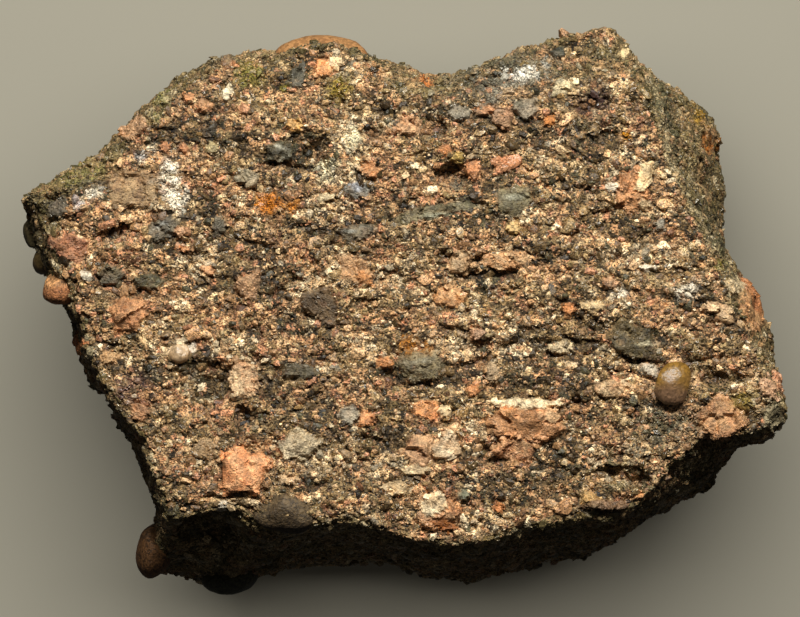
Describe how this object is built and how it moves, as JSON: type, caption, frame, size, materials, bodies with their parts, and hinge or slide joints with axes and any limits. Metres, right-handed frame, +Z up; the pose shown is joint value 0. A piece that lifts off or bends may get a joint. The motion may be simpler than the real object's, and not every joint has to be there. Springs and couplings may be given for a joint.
{
  "type": "arkose hand specimen",
  "caption": "Broken block of coarse pink and grey feldspar sandstone with a broad broken face, steep rough sides and a small flat spot to rest on.",
  "frame": {"origin": "middle of the bounding box, at the height of the small flat spot that the back rests on", "axes": "+X along the length of the broad broken face, +Y across it, along the way its upper edge lies in the picture, +Z up, out of the broad face"},
  "size_m": [0.1002, 0.074, 0.0451],
  "materials": {
    "arkose": "broken grains of feldspar and quartz, matte with glossy quartz"
  },
  "bodies": {
    "root": {"arkose": "arkose"}
  },
  "joints": []
}
